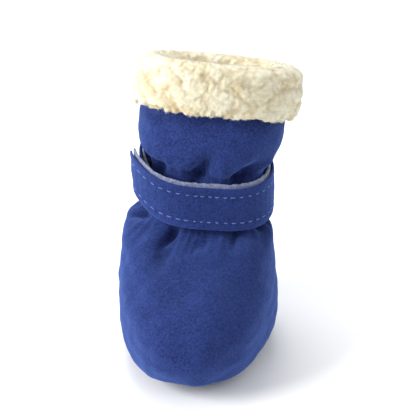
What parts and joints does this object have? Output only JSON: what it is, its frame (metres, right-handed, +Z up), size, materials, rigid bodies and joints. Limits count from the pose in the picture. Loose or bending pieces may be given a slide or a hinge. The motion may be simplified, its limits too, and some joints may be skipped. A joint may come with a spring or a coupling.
{
  "type": "dog shoe",
  "caption": "Soft dog boot with a suede upper gathered at the ankle by a wrapped strap, a turned-down fleece cuff and a thin flat sole.",
  "frame": {"origin": "on the floor, under the middle of the sole, on the shoe's centre line", "axes": "+Z up from the floor, -Y towards the toe, +X towards the shoe's left side"},
  "size_m": [0.0584, 0.0958, 0.0967],
  "materials": {
    "suede": "matte napped suede, royal blue",
    "fleece": "curly pile, cream",
    "tape": "looped fastening tape, pale grey",
    "sole": "matte, with fine grip dots",
    "insole": "felted, grey"
  },
  "bodies": {
    "root": {"outsole": "sole", "insole": "insole", "upper": "suede", "cuff": "fleece", "strap_backing": "tape", "strap_face": "suede"}
  },
  "joints": []
}
